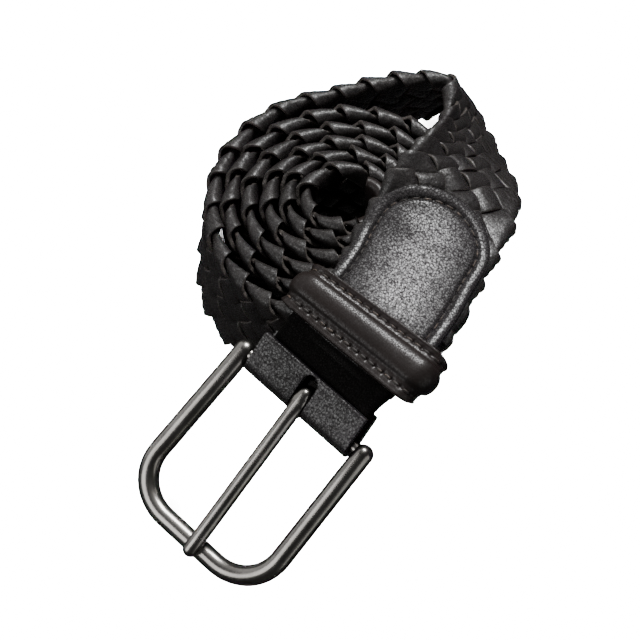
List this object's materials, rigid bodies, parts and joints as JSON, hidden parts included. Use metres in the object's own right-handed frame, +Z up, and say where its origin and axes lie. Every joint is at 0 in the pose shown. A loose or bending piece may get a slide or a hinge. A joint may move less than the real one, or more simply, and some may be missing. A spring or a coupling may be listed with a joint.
{
  "type": "braided leather belt",
  "caption": "Flat braided leather strap rolled up on its edge, its sewn buckle end with keeper loop and prong buckle laid forward over the roll.",
  "frame": {"origin": "centre of the bounding box, on the flat surface the roll stands on", "axes": "+Z up, along the width of the rolled strap; the buckle points to -Y and its bar lies along X"},
  "size_m": [0.092, 0.1494, 0.0488],
  "materials": {
    "braided_leather": "satin, slightly worn on its edges",
    "tab_leather": "fine pebble grain, satin",
    "keeper_leather": "smooth, half gloss",
    "buckle_metal": "dark nickel, brushed and half gloss"
  },
  "bodies": {
    "belt": {"braid": "braided_leather", "end_tip": "tab_leather", "tab": "tab_leather", "keeper_loop": "keeper_leather", "bar_fold": "tab_leather"},
    "frame": {"buckle_frame": "buckle_metal"},
    "prong": {"prong": "buckle_metal"}
  },
  "joints": [
    {"name": "frame_swing", "type": "hinge", "parent": "belt", "child": "frame", "pos_m": [0.02014, -0.03018, 0.02688], "axis": [-0.9998, 0.02, 0], "range_deg": [0, 60]},
    {"name": "prong_hinge", "type": "hinge", "parent": "frame", "child": "prong", "pos_m": [0.02014, -0.03018, 0.02688], "axis": [-0.9998, 0.02, 0], "range_deg": [0, 50]}
  ]
}
